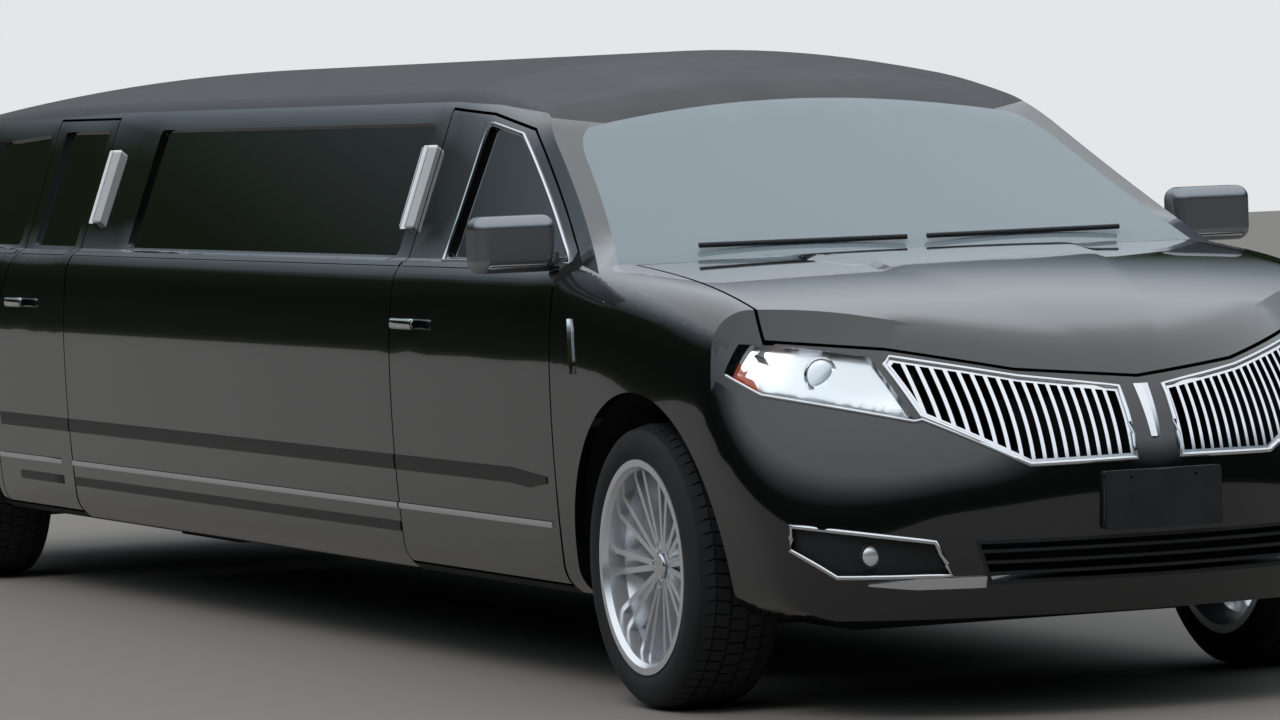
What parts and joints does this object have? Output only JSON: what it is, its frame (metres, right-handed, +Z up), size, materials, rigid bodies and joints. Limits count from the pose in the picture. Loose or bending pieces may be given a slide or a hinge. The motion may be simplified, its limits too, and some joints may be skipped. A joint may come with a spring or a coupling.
{
  "type": "stretch limousine",
  "caption": "Black stretch limousine built from a large crossover, with one long side window, coach lamps, hinged doors, hood and tailgate, and steered front wheels.",
  "frame": {"origin": "centre of the car's outline on the ground", "axes": "+Z up, +Y towards the rear, +X towards the car's left"},
  "size_m": [2.294, 8.3564, 1.6908],
  "materials": {
    "paint": "gloss",
    "glass": "gloss",
    "chrome": "gloss",
    "tyre": "matte",
    "rim": "polished",
    "trim": "matte",
    "clear_glass": "gloss",
    "lining": "matte",
    "steel": "satin",
    "clear_lamp": "gloss",
    "red_lamp": "gloss",
    "seat": "satin"
  },
  "bodies": {
    "body": {"fenders": "paint", "front_bumper": "paint", "headlamps": "clear_lamp", "grille": "chrome", "lower_intake": "trim", "fog_lamps": "trim", "cowl_panel": "paint", "windscreen": "clear_glass", "roof_panel": "paint", "roof_rails": "paint", "stretch_panels": "paint", "quarter_panels": "paint", "rear_bumper": "paint", "tail_lamps": "red_lamp", "floor_pan": "trim", "cabin_lining": "lining", "wheel_liners": "trim", "front_subframe": "steel", "engine_block": "steel", "radiator": "trim", "rear_axle": "steel", "fuel_tank": "steel", "exhaust": "steel", "dashboard": "trim", "front_seats": "seat", "long_bench": "seat", "rear_bench": "seat", "bar_cabinet": "trim", "coach_lamps": "clear_lamp", "number_plate": "trim", "wipers": "chrome", "side_glass": "glass"},
    "hood": {"hood": "paint"},
    "tailgate": {"tailgate": "paint", "tailgate_glass": "glass"},
    "steering_wheel": {"steering_wheel": "trim"},
    "door_front_left": {"door_front_left": "paint", "glass_front_left": "glass", "mirror_left": "paint"},
    "door_rear_left": {"door_rear_left": "paint", "glass_rear_left": "glass"},
    "knuckle_left": {"knuckle_left": "steel"},
    "wheel_front_left": {"tyre_front_left": "tyre", "rim_front_left": "rim"},
    "wheel_rear_left": {"tyre_rear_left": "tyre", "rim_rear_left": "rim"},
    "door_front_right": {"door_front_right": "paint", "glass_front_right": "glass", "mirror_right": "paint"},
    "door_rear_right": {"door_rear_right": "paint", "glass_rear_right": "glass"},
    "knuckle_right": {"knuckle_right": "steel"},
    "wheel_front_right": {"tyre_front_right": "tyre", "rim_front_right": "rim"},
    "wheel_rear_right": {"tyre_rear_right": "tyre", "rim_rear_right": "rim"}
  },
  "joints": [
    {"name": "hood_hinge", "type": "hinge", "parent": "body", "child": "hood", "pos_m": [0, -2.7935, 1.142], "axis": [-1, 0, 0], "range_deg": [0, 50]},
    {"name": "tailgate_hinge", "type": "hinge", "parent": "body", "child": "tailgate", "pos_m": [0, 3.8015, 1.585], "axis": [1, 0, 0], "range_deg": [0, 80]},
    {"name": "door_front_left_hinge", "type": "hinge", "parent": "body", "child": "door_front_left", "pos_m": [0.922, -2.6435, 0.7], "axis": [0, 0, -1], "range_deg": [0, 60]},
    {"name": "door_rear_left_hinge", "type": "hinge", "parent": "body", "child": "door_rear_left", "pos_m": [0.922, 1.5365, 0.7], "axis": [0, 0, -1], "range_deg": [0, 60]},
    {"name": "steer_left", "type": "hinge", "parent": "body", "child": "knuckle_left", "pos_m": [0.745, -3.1035, 0.366], "axis": [0, 0, 1], "range_deg": [-32, 32]},
    {"name": "wheel_front_left_spin", "type": "hinge", "parent": "knuckle_left", "child": "wheel_front_left", "pos_m": [0.83, -3.1035, 0.366], "axis": [1, 0, 0], "continuous": true},
    {"name": "wheel_rear_left_spin", "type": "hinge", "parent": "body", "child": "wheel_rear_left", "pos_m": [0.83, 2.9395, 0.366], "axis": [1, 0, 0], "continuous": true},
    {"name": "door_front_right_hinge", "type": "hinge", "parent": "body", "child": "door_front_right", "pos_m": [-0.922, -2.6435, 0.7], "axis": [0, 0, 1], "range_deg": [0, 60]},
    {"name": "door_rear_right_hinge", "type": "hinge", "parent": "body", "child": "door_rear_right", "pos_m": [-0.922, 1.5365, 0.7], "axis": [0, 0, 1], "range_deg": [0, 60]},
    {"name": "steer_right", "type": "hinge", "parent": "body", "child": "knuckle_right", "pos_m": [-0.745, -3.1035, 0.366], "axis": [0, 0, 1], "range_deg": [-32, 32]},
    {"name": "wheel_front_right_spin", "type": "hinge", "parent": "knuckle_right", "child": "wheel_front_right", "pos_m": [-0.83, -3.1035, 0.366], "axis": [1, 0, 0], "continuous": true},
    {"name": "wheel_rear_right_spin", "type": "hinge", "parent": "body", "child": "wheel_rear_right", "pos_m": [-0.83, 2.9395, 0.366], "axis": [1, 0, 0], "continuous": true},
    {"name": "steering_column", "type": "hinge", "parent": "body", "child": "steering_wheel", "pos_m": [0.37, -2.0935, 1.01], "axis": [0, 0.9136, 0.4067], "range_deg": [-464, 464]}
  ],
  "couplings": [
    {"joint": "steer_right", "follows": "steer_left", "ratio": 1},
    {"joint": "steering_column", "follows": "steer_left", "ratio": 14.5}
  ]
}
